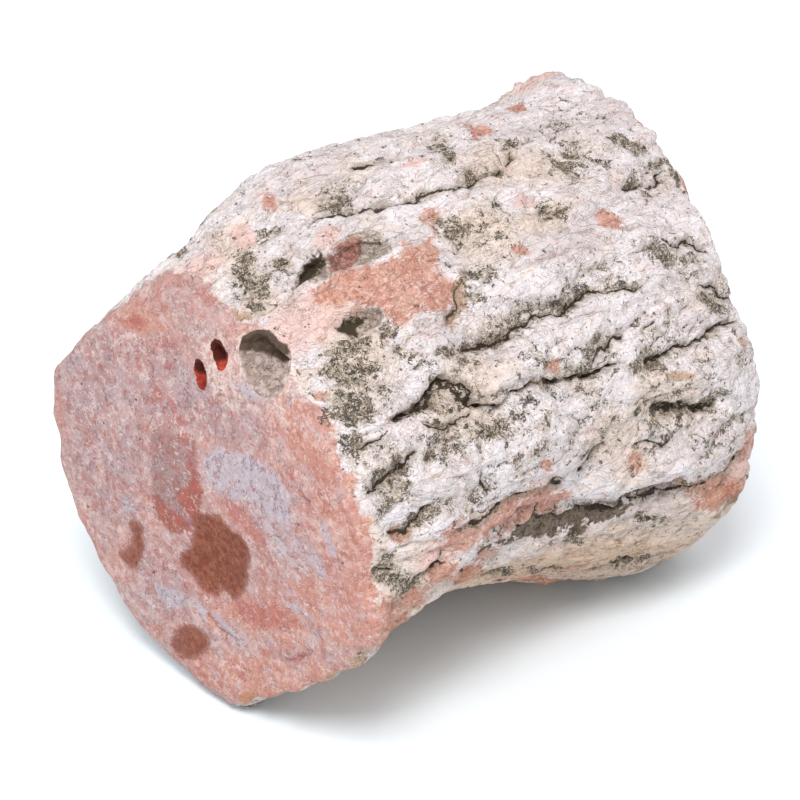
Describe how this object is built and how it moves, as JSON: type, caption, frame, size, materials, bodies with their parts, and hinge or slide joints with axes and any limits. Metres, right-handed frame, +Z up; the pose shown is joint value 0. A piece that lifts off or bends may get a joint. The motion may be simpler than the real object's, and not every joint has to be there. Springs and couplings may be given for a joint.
{
  "type": "petrified wood specimen",
  "caption": "Short section of petrified log lying on its side: white furrowed stone bark with lichen specks, and a pink broken end with brown patches and open knot sockets.",
  "frame": {"origin": "centre of the footprint of the log's bounding box, on the surface that it lies on", "axes": "+Y along the log, from the pink near break to the far break; +Z up; +X to the right as the near break is looked at"},
  "size_m": [0.0942, 0.1122, 0.0907],
  "materials": {
    "petrified_wood": "dry, rough silicified wood: chalky white bark with grey-olive lichen, pink to salmon broken stone with brown patches"
  },
  "bodies": {
    "root": {"petrified_log": "petrified_wood"}
  },
  "joints": []
}
